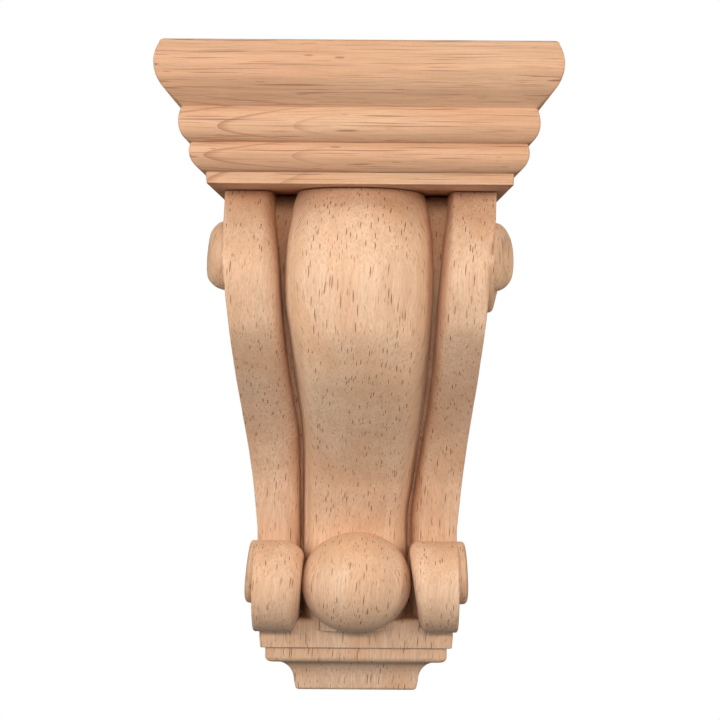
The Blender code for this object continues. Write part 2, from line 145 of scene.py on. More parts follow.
# Width in millimetres by which the strap's front outer edge is eased
STRAP_EASING = {
    RIGHT: ((0.0, 0.7), (0.05, 0.7), (0.084, 0.9), (0.149, 2.4), (0.196, 2.6), (0.245, 1.3), (0.29, 0.6),
            (1.0, 0.6)),
    LEFT: ((0.0, 1.3), (0.1, 1.2), (0.14, 0.8), (0.18, 0.6), (1.0, 0.6)),
}
EASING_SLANT = 2.2  # an eased edge goes back this many times as far as it goes in, where it is wide
EASING_NARROW = 0.6  # millimetres up to which it goes back no further than it goes in

# Lower scroll rolls and the ball between them
ROLL_RADIUS = 14.6 * MM
ROLL_DEPTH = 36.0 * MM  # of the roll's axis
ROLL_HALF_WIDTH = {RIGHT: 32.75 * MM, LEFT: 33.2 * MM}
# From the middle line, at the roll's top and bottom
ROLL_FACE_EDGE = {RIGHT: (19.6 * MM, 22.4 * MM), LEFT: (22.6 * MM, 20.9 * MM)}
ROLL_INNER_END = {RIGHT: (16.4 * MM, 20.8 * MM), LEFT: (16.6 * MM, 19.0 * MM)}
ROLL_INNER_DROP = {RIGHT: 4.4 * MM, LEFT: 4.6 * MM}  # how far the roll's inner side falls from its face
ROLL_INNER_ROUND = {RIGHT: 1.8, LEFT: 1.4}
ROLL_EDGE_ROUND = 0.8 * MM
BALL_HALF_WIDTH = 17.7 * MM
BALL_HALF_DEPTH = 17.0 * MM
BALL_HALF_HEIGHT = 16.2 * MM
BALL_DEPTH = 38.0 * MM  # of the ball's middle

# Volutes on the sides
UPPER_EYE_PLACE = 0.1445  # share of the shank's height, from the top
UPPER_EYE_DEPTH = 56.0 * MM
UPPER_EYE_RADIUS = 10.8 * MM
UPPER_EYE_RISE = {RIGHT: (2.8 * MM, 10.5 * MM), LEFT: (5.4 * MM, 8.6 * MM)}  # front and rear
UPPER_EYE_TILT = {RIGHT: 1.7 * MM, LEFT: 1.5 * MM}  # stands out more at its bottom, less at its top
UPPER_EYE_DISH = {RIGHT: 2.6 * MM, LEFT: 1.2 * MM}
UPPER_EYE_ROUND = {RIGHT: 2.9, LEFT: 2.3}  # power of the eye's domed section
EYE_DISH_SHARE = 0.68  # of the eye's radius
EYE_DISH_POWER = 1.5
EYE_CENTRE_SHARE = 0.02  # first ring of the eye's points, as a share of its radius
EYE_RIM_SHARE = 0.15  # breadth of the rim with finer rings
EYE_RIM_START = 0.8
COIL_START_RADIUS = 22.8 * MM
COIL_TIGHTENING = 0.19  # the coil's radius falls by this share for each radian
COIL_RISE = {RIGHT: 2.0 * MM, LEFT: 0.3 * MM}  # at one radian
COIL_EASING = {RIGHT: 0.9, LEFT: 1.3}  # power of the angle that the coil's rise follows
COIL_TURN = 1.45 * pi
COIL_FADE = 0.9 * pi  # the coil sinks back into the side from this angle on
COIL_END_SINK = 0.4 * MM
COIL_INNER_SHARE = 0.6  # of the eye's radius, hidden under it
COIL_ROUND_SHARE = 0.6
COIL_ROUND_LIMIT = 2.0 * MM
LOWER_EYE_LIFT = 4.6 * MM  # from the roll's axis up to the lower eye's middle
LOWER_EYE_RADIUS = 10.1 * MM
LOWER_EYE_RISE = {RIGHT: (3.5 * MM, 2.4 * MM), LEFT: (3.7 * MM, 2.0 * MM)}  # bottom and top
LOWER_EYE_DISH = {RIGHT: 2.4 * MM, LEFT: 1.4 * MM}
LOWER_EYE_ROUND = 5.0
BEDDING = 3.0 * MM  # how far an applied form reaches into the wood behind it

# Foot
FOOT_WIDTH = 63.4 * MM
FOOT_DEPTH = 33.5 * MM
FOOT_RISE = 3.6 * MM  # the foot's face goes on up between the rolls
# From the foot's face to the rise's, at its bottom and its top: the faces cross at the foot's edge
RISE_LEAN = (-0.10 * MM, 0.0385 * MM)
RISE_ROUND = 1.6 * MM
FOOT_LAP = 1.0 * MM  # how far the foot's top reaches up behind the rolls
FOOT_BAND_HEIGHT = 6.0 * MM
FOOT_BAND_LEAN = 0.5 * MM
FOOT_BAND_ROUND = 0.4 * MM
FOOT_FILLET_HEIGHT = 5.1 * MM
FOOT_FILLET_SETBACK = 2.1 * MM
FOOT_FILLET_ROUND = 2.1 * MM
COVE_HEIGHT = 7.5 * MM
COVE_TOP_SETBACK = 4.4 * MM
COVE_BOTTOM_SETBACK = 11.2 * MM
FOOT_BASE_HEIGHT = 3.1 * MM
FOOT_BASE_LEAN = 0.4 * MM
FOOT_BASE_ROUND = 1.2 * MM
LEDGE_FALL = 0.1 * MM  # slope of the foot's narrow ledges
SAWN_OFF = 4.0 * MM  # rough wood behind the wall's plane, sawn off at the end

FOOT_TOP = BOTTOM + FOOT_BASE_HEIGHT + COVE_HEIGHT + FOOT_FILLET_HEIGHT + FOOT_BAND_HEIGHT
SHANK_HEIGHT = CAP_UNDERSIDE - FOOT_TOP
ROLL_MIDDLE = FOOT_TOP + ROLL_RADIUS
BALL_MIDDLE = FOOT_TOP + BALL_HALF_HEIGHT
UPPER_EYE_MIDDLE = CAP_UNDERSIDE - UPPER_EYE_PLACE * SHANK_HEIGHT

# Mesh fineness
SHANK_ROWS = 281
SIDE_STEPS = 14
EASING_STEPS = 7
FACE_STEPS = 8
FALL_STEPS = 18
FLOOR_STEPS = 5
LOBE_STEPS = 30
ROLL_SEGMENTS = 112
ROLL_EDGE_STEPS = 7
BALL_SEGMENTS = 112
BALL_RINGS = 56
EYE_SEGMENTS = 96
EYE_STEPS = 16
EYE_RIM_STEPS = 9
COIL_STEPS = 120
COIL_EDGE_STEPS = 8
TOP_EDGE_STEPS = 6
CORNER_STEPS = 5
ARC_STEPS = 16
SHARP_ANGLE = radians(38)
MERGE_DISTANCE = 0.000001
SAW_REACH = 0.3

# Noises in the wood: width and length of their patches in millimetres, detail, seed, roughness
SWAY_NOISE = (14.0, 30.0, 1.0, 3.1)
RIPPLE_NOISE = (9.0, 60.0, 1.0, 23.0)
BROAD_NOISE = (13.0, 60.0, 2.0, 7.3)
BAND_NOISE = (2.4, 70.0, 2.0, 11.3, 0.55)
FIBRE_NOISE = (0.5, 12.0, 3.0, 1.7, 0.6)
THREAD_NOISE = (0.35, 36.0, 1.0, 13.9)
SPECKLE_NOISE = (0.3, 0.8, 2.0, 5.9)

# The values between which each noise takes effect
BROAD_SPAN = (0.36, 0.66)
BAND_SPAN = (0.42, 0.70)
FIBRE_SPAN = (0.40, 0.68)
THREAD_SPAN = (0.60, 0.70)
SPECKLE_SPAN = (0.35, 0.7)
ROUGHNESS_SPAN = (0.2, 0.8)

# Pores. The small ones' spacing, length and width are shares of the long ones'.
SMALL_PORES = (0.7, 0.45, 0.85)
SMALL_PORE_STRENGTH = 0.75
SMALL_PORE_SEED = 17.0
PORE_DRAW = 5.0  # how much deeper than wide a pore's cell is
PORE_TURN = (0.6, 0.8)  # the cells turn while the normal's sideways part is between these
PORE_THINNEST = 0.5  # share of the full width
PORE_SOFT_EDGE = 0.35  # share of the half width
PORE_STRENGTHS = (0.0, 0.8, 0.35, 1.0)  # two random numbers, then the strengths they give

# Growth layers, in millimetres across and along the grain
RING_LEAN = 0.162  # how far a layer moves over for each millimetre up
RING_LINE = (0.80, 1.0)  # share of a layer over which its line grows dark
RING_TOP_FADE = 3.0
RING_END_FADE = (-34.0, -2.0, 1.0, 0.1)  # from full strength to a tenth along the grain

FIBRE_HEIGHT = 0.25  # of the bump, as a share of a pore's depth
SPECKLE_HEIGHT = 0.12
BUMP_STRENGTH = 0.35
BUMP_DEPTH = 0.12 * MM
FIBRE_ROUGHNESS = 0.06
PORE_ROUGHNESS = 0.12
WOOD_SPECULAR = 0.35

# The cap is cut from another board: long dark lines along X and growth layers that show as arches
CAP_WOOD = {
    "light": (0.68, 0.425, 0.272),
    "deep": (0.66, 0.37, 0.225),
    "streak": (0.50, 0.28, 0.165),
    "streak_dark": (0.29, 0.115, 0.06),
    "band": 0.45,
    "fibre": 0.42,
    "thread": 0.75,
    "ring_strength": 0.6,
    "ring_spacing": 1.6,
    "ring_tilt": -0.063,
    "ring_ripple": 0.5,
    "ring_top": 87.0,
    "ring_phase": 0.975,
    "pore_strength": 0.85,
    "pore_spacing": 0.95,
    "pore_length": 32.0,
    "pore_width": 0.18,
    "sway": 0.8,
    "slope": 0.0,
}

# Stage
FLOOR_HEIGHT = -0.30
FLOOR_RADIUS = 0.9
FLOOR_FADE = (0.4, 0.8)  # the floor goes over into the white surround between these radii
SURROUND_RADIUS = 4.0
STAGE_HUB = 0.001  # innermost radius
STAGE_STEPS = 64
FLOOR_RINGS = 8
FLOOR_ROUGHNESS = 0.8

# Each light: place, size, colour. All of them point at LIGHT_TARGET, the corbel's middle.
LIGHT_TARGET = (0.0, -0.07, 0.02)
KEY = ((0.0, -0.565, 0.094), (0.70, 0.07), (1.0, 0.905, 0.78))
TOP_LIGHT = ((0.0, -0.38, 0.42), (0.70, 0.35), (0.78, 0.91, 1.0))
SIDE_FILL = ((-0.45, -0.45, 0.145), (0.30, 0.30), (0.70, 0.87, 1.0))
EDGE_LIGHT = ((0.50, -0.25, 0.16), (0.30, 0.40), (1.0, 0.93, 0.80))
BOUNCE_LIGHT = ((0.0, -0.35, -0.28), (0.80, 0.40), (0.74, 0.88, 1.0))
BACK_LIGHT = ((0.0, 0.70, 0.45), (0.80, 0.50), (1.0, 1.0, 1.0))

# Camera: the photograph's point of view
CAMERA_PLACE = (0.0025, -0.650, 0.0169)
CAMERA_LENS = 95.15
SENSOR_WIDTH = 36.0
CAMERA_PITCH = radians(90 - 0.843)
CAMERA_YAW = radians(0.176)
CAMERA_ROLL = radians(-0.4)


def mix(a, b, share):
    return a + (b - a) * share


def shares(count):
    """Shares from 0 up to, but not including, 1."""
    return np.linspace(0, 1, count, endpoint=False)


def quarter(count):
    """Angles from 0 to a right angle."""
    return np.linspace(0, pi / 2, count)


def full_turn(count):
    return np.linspace(0, 2 * pi, count, endpoint=False)


def place(x, depth, z):
    """Points from their distance to the right, their depth from the wall and their height."""
    return np.stack(np.broadcast_arrays(x, -np.asarray(depth), z), axis=-1)


def through(stations, at):
    """Smooth curve through (place, value) stations, read at an array of places.

    Cubic pieces; the slope at a station is the harmonic mean of the slopes on its two sides, zero
    where they differ in sign, that of the first piece at the start and level at the end.
    """
    places, values = np.array(stations, float).T
    at = np.clip(at, places[0], places[-1])
    steps = np.diff(values) / np.diff(places)
    before, after = steps[:-1], steps[1:]
    same_way = before * after > 0
    middle = np.where(same_way, 2 * before * after / np.where(same_way, before + after, 1.0), 0.0)
    slopes = np.concatenate([steps[:1], middle, [0.0]])
    i = np.clip(np.searchsorted(places, at, side="right") - 1, 0, len(steps) - 1)
    span = places[i + 1] - places[i]
    s = (at - places[i]) / span
    return (
        values[i] * (1 + 2 * s) * (1 - s) ** 2
        + values[i + 1] * (3 - 2 * s) * s**2
        + span * (slopes[i] * s * (1 - s) ** 2 - slopes[i + 1] * s**2 * (1 - s))
    )


def depth_curve(depths, run, t):
    """A depth down the shank: from the top out to the bulge and back in to the neck."""
    top, bulge, neck = depths
    (first_place, first_share), later = run
    stations = [(0.0, top), (first_place, mix(top, bulge, first_share))]
    stations += [(at, mix(neck, bulge, share)) for at, share in later]
    return through(stations, t)


def half_width(sizes, t):
    """The sides taper in a straight line down to the neck, and are upright below it."""
    return mix(sizes.top_width, sizes.neck_width, np.minimum(t / NECK_PLACE, 1.0)) / 2


def drawn_in(side, t):
    return through(SIDE_DRAWN_IN[side], t) * MM


def share_down(z):
    return (CAP_UNDERSIDE - z) / SHANK_HEIGHT


def rounded_fall(share, power):
    """Share of the whole fall at a share of the way across a rounded side."""
    return 1 - (1 - share**power) ** (1 / power)


def creased_section(side):
    """Half of the lobe's creased section as shares of its half width and of its height.

    From the groove a straight flank goes up to the crease, and from there a parabola to the
    middle. Averaging over a short way, longest halfway along, softens the crease.
    """
    crease_x, crease_y = LOBE_CREASE[side]
    s = np.linspace(0, 1, LOBE_STEPS)
    ways = [s + step * CREASE_SOFTNESS * np.sin(pi * s) for step in (-1, -0.5, 0, 0.5, 1)]
    across = [np.interp(way, (0, CREASE_PLACE, 1), (1, crease_x, 0)) for way in ways]
    up = [np.where(way < CREASE_PLACE,
                   crease_y * way / CREASE_PLACE,
                   1 - (1 - crease_y) * (x / crease_x) ** 2)
          for way, x in zip(ways, across)]
    return np.mean(across, axis=0), np.mean(up, axis=0)


def grid_faces(rows, columns):
    """Quads between closed rings of points, then the points' numbers and their neighbours'."""
    index = np.arange(rows * columns).reshape(rows, columns)
    around = np.roll(index, -1, axis=1)
    quads = np.stack([index[:-1], around[:-1], around[1:], index[1:]], axis=-1).reshape(-1, 4)
    return quads.tolist(), index, around


def surface(name, rings, ends="faces"):
    """A closed skin over a grid of points: rings one after another, each ring closed.

    ends is "faces" for a flat face on the first and last ring, or "points" for one middle point
    each, joined by a fan.
    """
    rows, columns = rings.shape[:2]
    points = rings.reshape(-1, 3)
    quads, index, around = grid_faces(rows, columns)
    if ends == "faces":
        quads += [index[0, ::-1].tolist(), index[-1].tolist()]
    else:
        first, last = rows * columns, rows * columns + 1
        points = np.vstack([points, rings[0].mean(axis=0), rings[-1].mean(axis=0)])
        start = np.stack([around[0], index[0], np.full(columns, first)], axis=-1)
        finish = np.stack([index[-1], around[-1], np.full(columns, last)], axis=-1)
        quads += start.tolist() + finish.tolist()
    data = bpy.data.meshes.new(name)
    data.from_pydata(points, [], quads)
    turn_outwards(data)
    return new_object(name, data)


def new_object(name, data):
    obj = bpy.data.objects.new(name, data)
    bpy.context.scene.collection.objects.link(obj)
    return obj


def turn_outwards(data):
    """Merge the points that lie together and turn every face outwards."""
    mesh = bmesh.new()
    mesh.from_mesh(data)
    bmesh.ops.remove_doubles(mesh, verts=mesh.verts, dist=MERGE_DISTANCE)
    bmesh.ops.recalc_face_normals(mesh, faces=mesh.faces)
    mesh.to_mesh(data)
    mesh.free()
    data.update()


def combine(body, form, operation="UNION"):
    """Unite a form with the body, or cut it away, and remove the form."""
    boolean = body.modifiers.new("combine", "BOOLEAN")
    boolean.operation = operation
    boolean.solver = "MANIFOLD"
    boolean.object = form
    bpy.context.view_layer.objects.active = body
    bpy.ops.object.modifier_apply(modifier=boolean.name)
    bpy.data.objects.remove(form, do_unlink=True)
    if not body.data.polygons:
        raise RuntimeError("a form of the body could not be combined with the rest")


def half_section(sizes, side, t):
    """One half of the shank's level section, from the back round to the middle of the lobe.

    Down the rows goes the share of the shank's height; along a row go the flat side, the eased
    front edge, a quarter of an ellipse, the strap's face, its inner side, a rounded fall mixed with
    a straight slope, the groove's floor and the lobe, a quarter of a superellipse that goes over to
    the creased section further down.
    """
    t = t[:, None]
    outer = half_width(sizes, t) - drawn_in(side, t)
    edge = through(STRAP_EDGE[side], t) * MM
    groove_edge = through(GROOVE_OUTER[side], t) * MM
    lobe = through(LOBE_EDGE[side], t) * MM
    face = depth_curve(STRAP_DEPTHS, STRAP_RUN, t)
    floor = depth_curve(GROOVE_DEPTHS, GROOVE_RUN, t)
    crown = depth_curve(LOBE_DEPTHS, LOBE_RUN, t)
    ease = through(STRAP_EASING[side], t) * MM
    ease_depth = ease * mix(1.0, EASING_SLANT, np.clip(ease / MM - EASING_NARROW, 0.0, 1.0))

    s = shares(SIDE_STEPS)
    side_x, side_depth = np.broadcast_arrays(outer, mix(-SAWN_OFF, face - ease_depth, s))
    a = pi / 2 * shares(EASING_STEPS)
    ease_x = outer - ease * (1 - np.cos(a))
    ease_y = face - ease_depth * (1 - np.sin(a))
    s = shares(FACE_STEPS)
    face_x, face_y = np.broadcast_arrays(mix(outer - ease, edge, s), face)
    s = shares(FALL_STEPS)
    fall_x = mix(edge, groove_edge, s)
    fall_y = mix(face, floor, mix(rounded_fall(s, STRAP_ROUND[side]), s, STRAP_BEVEL))
    s = shares(FLOOR_STEPS)
    floor_x, floor_y = np.broadcast_arrays(mix(groove_edge, lobe, s), floor)
    a = quarter(LOBE_STEPS)
    power = 2 / LOBE_ROUND[side]
    creased_x, creased_y = creased_section(side)
    creased = through(LOBE_CREASED, t)
    lobe_x = lobe * mix(np.clip(np.cos(a), 0.0, 1.0) ** power, creased_x, creased)
    lobe_y = mix(floor, crown, mix(np.sin(a) ** power, creased_y, creased))

    x = np.concatenate([side_x, ease_x, face_x, fall_x, floor_x, lobe_x], axis=1)
    depth = np.concatenate([side_depth, ease_y, face_y, fall_y, floor_y, lobe_y], axis=1)
    return x, depth


def make_shank(sizes):
    """Straps, grooves and lobe: level sections stacked down to the top of the foot."""
    t = np.linspace(share_down(BODY_TOP), 1.0, SHANK_ROWS)
    z = (CAP_UNDERSIDE - t * SHANK_HEIGHT)[:, None]
    right_x, right_depth = half_section(sizes, RIGHT, t)
    left_x, left_depth = half_section(sizes, LEFT, t)
    x = np.concatenate([right_x, -left_x[:, -2::-1]], axis=1)
    depth = np.concatenate([right_depth, left_depth[:, -2::-1]], axis=1)
    return surface("body_carved", place(x, depth, z))


def profile(parts):
    """One pair of (setback, height) arrays from pairs of arrays or single values."""
    setbacks, heights = zip(*parts)
    return np.hstack(setbacks), np.hstack(heights)


def lower_edge(setback, height, radius, a):
    """A quarter circle that rounds a moulding's lower edge."""
    return setback + radius * (1 - np.cos(a)), height + radius * (1 - np.sin(a))


def foot_profile():
    """(setback, height) arrays of the foot, from the top of its band down to its base.

    The band leans in a little and has a small rounded edge, the fillet under it a larger one. The
    cove is a quarter of an ellipse, and its foot leans in to a rounded edge.
    """
    band_bottom = FOOT_TOP - FOOT_BAND_HEIGHT
    fillet_bottom = band_bottom - FOOT_FILLET_HEIGHT
    cove_bottom = fillet_bottom - COVE_HEIGHT
    a = quarter(ARC_STEPS)
    return profile([
        (0.0, FOOT_TOP + FOOT_LAP),
        lower_edge(FOOT_BAND_LEAN, band_bottom, FOOT_BAND_ROUND, a[::3]),
        (FOOT_FILLET_SETBACK, band_bottom - LEDGE_FALL),
        lower_edge(FOOT_FILLET_SETBACK, fillet_bottom, FOOT_FILLET_ROUND, a),
        (mix(COVE_TOP_SETBACK, COVE_BOTTOM_SETBACK, np.sin(a)),
         mix(cove_bottom, fillet_bottom - LEDGE_FALL, np.cos(a))),
        lower_edge(COVE_BOTTOM_SETBACK + FOOT_BASE_LEAN, BOTTOM, FOOT_BASE_ROUND, a),
    ])


def rounded_path(half, front, back, corner):
    """A level rectangle with rounded front corners, one for each row of the profile.

    half and front are columns of half widths and front depths; the path runs from the rear right
    corner round the front to the rear left corner.
    """
    a = quarter(CORNER_STEPS)
    right_x = half - corner * (1 - np.cos(a))
    right_depth = front - corner * (1 - np.sin(a))
    rear = np.full_like(half, back)
    x = np.concatenate([half, right_x, -right_x[:, ::-1], -half], axis=1)
    depth = np.concatenate([rear, right_depth, right_depth[:, ::-1], rear], axis=1)
    return x, depth


def make_foot():
    """The foot's mouldings: its profile carried round the front and both sides."""
    setback, height = foot_profile()
    x, depth = rounded_path((FOOT_WIDTH / 2 - setback)[:, None], (FOOT_DEPTH - setback)[:, None],
                            -2 * SAWN_OFF, MITRE_ROUND)
    return surface("foot", place(x, depth, height[:, None]))


def make_rise():
    """The foot's face going on up between the rolls, behind the ball, to a quarter round."""
    a = quarter(CORNER_STEPS)
    front = FOOT_DEPTH + np.append(RISE_LEAN[0], RISE_LEAN[1] - RISE_ROUND * (1 - np.cos(a)))[:, None]
    half = np.full_like(front, max(max(ends) for ends in ROLL_INNER_END.values()))
    x, depth = rounded_path(half, front, BEDDING, MITRE_ROUND)
    z = np.append(FOOT_TOP - RISE_ROUND, FOOT_TOP + FOOT_RISE - RISE_ROUND * (1 - np.sin(a)))
    return surface("rise", place(x, depth, z[:, None]))


def make_roll(side):
    """A lower scroll roll: a level cylinder whose radius falls by a rounded curve towards its
    inner end, which slants on its way down, and by a small quarter circle at its outer end."""
    a = quarter(ROLL_EDGE_STEPS)
    s = np.linspace(0, 1, ARC_STEPS)
    inward = np.concatenate([np.zeros_like(a), s])[:, None]
    fall = ROLL_INNER_DROP[side] * rounded_fall(s, ROLL_INNER_ROUND[side])
    radius = ROLL_RADIUS - np.concatenate([ROLL_EDGE_ROUND * (1 - np.sin(a)), fall])[:, None]
    angle = full_turn(ROLL_SEGMENTS)
    z = ROLL_MIDDLE + radius * np.sin(angle)
    low = (ROLL_MIDDLE + ROLL_RADIUS - z) / (2 * ROLL_RADIUS)
    x = mix(mix(*ROLL_FACE_EDGE[side], low), mix(*ROLL_INNER_END[side], low), inward)
    x[:len(a)] = (ROLL_HALF_WIDTH[side] - ROLL_EDGE_ROUND * (1 - np.cos(a)))[:, None]
    return surface("roll", place(side * x, ROLL_DEPTH + radius * np.cos(angle), z))


def make_ball():
    """The ball between the rolls: an ellipsoid by latitude and longitude, with its poles fore and
    aft."""
    latitude = np.linspace(-pi / 2, pi / 2, BALL_RINGS)[1:-1, None]
    angle = full_turn(BALL_SEGMENTS)
    x = BALL_HALF_WIDTH * np.cos(latitude) * np.cos(angle)
    depth = BALL_DEPTH + BALL_HALF_DEPTH * np.sin(latitude)
    z = BALL_MIDDLE + BALL_HALF_HEIGHT * np.cos(latitude) * np.sin(angle)
    return surface("ball", place(x, depth, z), "points")


def side_points(sizes, side, depth, z, rise):
    """Points that stand out from the body's tapered side."""
    t = share_down(z)
    return place(side * (half_width(sizes, t) - drawn_in(side, t) + rise), depth, z)


def make_eye(sizes, side, depth, middle, radius, rise_at, dish, power):
    """A volute's eye: a superellipse dome over a circle, less a bowl in its middle.

    rise_at gives the dome's tilted height at a place across and up the eye, in radii.
    """
    inner = np.linspace(EYE_CENTRE_SHARE, 1 - EYE_RIM_SHARE, EYE_STEPS)
    rim = 1 - EYE_RIM_SHARE * np.linspace(EYE_RIM_START, 0, EYE_RIM_STEPS) ** 2
    share = np.concatenate([inner, rim, [1.0]])[:, None]
    dome = (1 - share**power) ** (1 / power)
    hollow = dish * np.clip(1 - (share / EYE_DISH_SHARE) ** 2, 0.0, 1.0) ** EYE_DISH_POWER
    angle = full_turn(EYE_SEGMENTS)
    across, up = share * np.cos(angle), share * np.sin(angle)
    rise = rise_at(across, up) * dome - hollow
    rise[-1] = -BEDDING
    return surface("eye", side_points(sizes, side, depth + radius * across, middle + radius * up, rise))


def make_upper_eye(sizes, side):
    front, rear = UPPER_EYE_RISE[side]
    return make_eye(sizes, side, UPPER_EYE_DEPTH, UPPER_EYE_MIDDLE, UPPER_EYE_RADIUS,
                    lambda across, up: mix(rear, front, (across + 1) / 2) - UPPER_EYE_TILT[side] * up,
                    UPPER_EYE_DISH[side], UPPER_EYE_ROUND[side])


def make_lower_eye(sizes, side):
    bottom, top = LOWER_EYE_RISE[side]
    return make_eye(sizes, side, ROLL_DEPTH, ROLL_MIDDLE + LOWER_EYE_LIFT, LOWER_EYE_RADIUS,
                    lambda across, up: mix(bottom, top, (up + 1) / 2),
                    LOWER_EYE_DISH[side], LOWER_EYE_ROUND)


def make_coil(sizes, side):
    """The upper volute's coil: a spiral ramp that starts flush at the strap's face, passes under
    the eye and sinks into the side behind it.

    Its radius falls by the same share for each radian. Its rise grows with a power of the angle,
    and a smooth step takes it back below the surface. Its outer edge is rounded.
    """
    angle = np.linspace(0.0, COIL_TURN, COIL_STEPS)[:, None]
    outer = COIL_START_RADIUS * np.exp(-COIL_TIGHTENING * angle)
    late = np.clip((angle - COIL_FADE) / (COIL_TURN - COIL_FADE), 0.0, 1.0)
    rise = COIL_RISE[side] * angle ** COIL_EASING[side]
    rise = mix(rise, -COIL_END_SINK, late**2 * (3 - 2 * late))
    rounding = np.minimum(COIL_ROUND_SHARE * np.maximum(rise, 0.0), COIL_ROUND_LIMIT)
    a = quarter(COIL_EDGE_STEPS)
    level = np.ones_like(angle)
    inner = COIL_INNER_SHARE * UPPER_EYE_RADIUS * level
    radius = np.concatenate([inner, outer, outer - rounding * (1 - np.cos(a)), inner], axis=1)
    sunk = -BEDDING * level
    up = np.concatenate([sunk, sunk, rise - rounding * (1 - np.sin(a)), rise], axis=1)
    return surface("coil", side_points(sizes, side, UPPER_EYE_DEPTH + radius * np.cos(angle),
                                       UPPER_EYE_MIDDLE - radius * np.sin(angle), up))


def saw_back_flat(body):
    """Cut away all that reaches behind the wall's plane."""
    x = SAW_REACH * np.array([[-1, 1, 1, -1]] * 2)
    depth = SAW_REACH * np.array([[0, 0, -1, -1]] * 2)
    z = SAW_REACH * np.array([[-1], [1]])
    combine(body, surface("saw", place(x, depth, z)), "DIFFERENCE")


def finish_mesh(obj):
    """Smooth shading, broken where two faces meet at a crease."""
    obj.data.shade_smooth()
    obj.data.set_sharp_from_angle(angle=SHARP_ANGLE)


def make_body(sizes):
    body = make_shank(sizes)
    combine(body, make_foot())
    combine(body, make_rise())
    combine(body, make_ball())
    for side in (RIGHT, LEFT):
        combine(body, make_roll(side))
        combine(body, make_coil(sizes, side))
        combine(body, make_upper_eye(sizes, side))
        combine(body, make_lower_eye(sizes, side))
    saw_back_flat(body)
    finish_mesh(body)
    return body


def cap_profile(sizes):
    """(setback, height above the underside) arrays of the cap, from the underside to the top.

    A square fillet, two rolls, each of two arcs of ellipses that meet at its widest line, a
    straight slope and a bullnose, part of a circle, with a small rounded top edge.
    """
    parts = [(FILLET_SETBACK, 0.0), (FILLET_SETBACK, FILLET_HEIGHT)]
    for bottom, widest, top, back, reach, below, above in (LOWER_ROLL, UPPER_ROLL):
        first_angle = np.arcsin((bottom - widest) / below)
        last_angle = np.arcsin((top - widest) / above)
        angle = np.linspace(first_angle, last_angle, 2 * ARC_STEPS)
        parts.append(((back + reach * (1 - np.cos(angle))) * MM,
                      (widest + np.where(angle < 0, below, above) * np.sin(angle)) * MM))
    widest = sizes.height - BULLNOSE_DROP
    slope_end = widest - BULLNOSE_RADIUS * sin(pi / 4)
    slope_setback = BULLNOSE_RADIUS * (1 - cos(pi / 4))
    parts.append((BULLNOSE_START_SETBACK, slope_end - (BULLNOSE_START_SETBACK - slope_setback)))
    top = sizes.height - sizes.top_round
    angle = np.linspace(-pi / 4, np.arcsin((top - widest) / BULLNOSE_RADIUS), 2 * ARC_STEPS)
    nose = BULLNOSE_RADIUS * (1 - np.cos(angle))
    parts.append((nose, widest + BULLNOSE_RADIUS * np.sin(angle)))
    angle = quarter(TOP_EDGE_STEPS)[1:]
    parts.append((nose[-1] + sizes.top_round * (1 - np.cos(angle)),
                  sizes.height - sizes.top_round * (1 - np.sin(angle))))
    return profile(parts)


def make_cap(sizes):
    """The cap's profile carried round the front and both sides, its mitred corners sanded."""
    setback, height = cap_profile(sizes)
    x, depth = rounded_path((sizes.width / 2 - setback)[:, None], (sizes.depth - setback)[:, None],
                            0.0, MITRE_ROUND)
    x = np.where(x < 0, x + through(CAP_LEFT_DRAWN_IN, height / MM)[:, None] * MM, x)
    cap = surface("cap_moulded", place(x, depth, CAP_UNDERSIDE + height[:, None]))
    finish_mesh(cap)
    return cap


class Shade:
    """A node's output in one material. Arithmetic on it adds Math nodes; node() adds any other."""

    def __init__(self, tree, socket=None):
        self.tree = tree
        self.socket = socket

    def node(self, kind, inputs=None, output=0, **settings):
        """A new node: inputs are the values or links of its sockets, output the socket it gives."""
        made = self.tree.nodes.new(kind)
        for name, value in settings.items():
            setattr(made, name, value)
        for key, value in (inputs or {}).items():
            if isinstance(value, Shade):
                self.tree.links.new(value.socket, made.inputs[key])
            else:
                made.inputs[key].default_value = value
        return Shade(self.tree, made.outputs[output] if made.outputs else None)

    def maths(self, operation, *values):
        return self.node("ShaderNodeMath", dict(enumerate(values)), operation=operation)

    def __add__(self, other):
        return self.maths("ADD", self, other)

    def __sub__(self, other):
        return self.maths("SUBTRACT", self, other)

    def __rsub__(self, other):
        return self.maths("SUBTRACT", other, self)

    def __mul__(self, other):
        return self.maths("MULTIPLY", self, other)

    __rmul__ = __mul__

    def __truediv__(self, other):
        return self.maths("DIVIDE", self, other)

    def clamp(self):
        return self.node("ShaderNodeClamp", {"Value": self})

    def between(self, low, high, to_low=0.0, to_high=1.0):
        """Goes smoothly from to_low at low to to_high at high."""
        return self.node("ShaderNodeMapRange", {"Value": self, "From Min": low, "From Max": high,
                                                "To Min": to_low, "To Max": to_high},
                         interpolation_type="SMOOTHSTEP")

    def blend(self, first, second):
        """This number mixes two colours."""
        return self.node("ShaderNodeMix", {0: self, 6: first, 7: second}, 2, data_type="RGBA")

    def vector(self, x, y, z):
        return self.node("ShaderNodeCombineXYZ", {0: x, 1: y, 2: z})


def new_material(name):
    """An empty material and the Shade that builds its nodes."""
    material = bpy.data.materials.new(name)
    material.use_nodes = True
    material.node_tree.nodes.clear()
    return material, Shade(material.node_tree)


def rgba(colour):
    return (colour[0], colour[1], colour[2], 1.0)


def grain_coordinates(shade, along_x):
    """Object coordinates in millimetres as (across, across, along the grain)."""
    position = shade.node("ShaderNodeTexCoord", output=3)
    split = shade.node("ShaderNodeSeparateXYZ", {0: position})
    x, y, z = [Shade(shade.tree, socket) / MM for socket in split.socket.node.outputs]
    return (y, z, x) if along_x else (x, y, z)


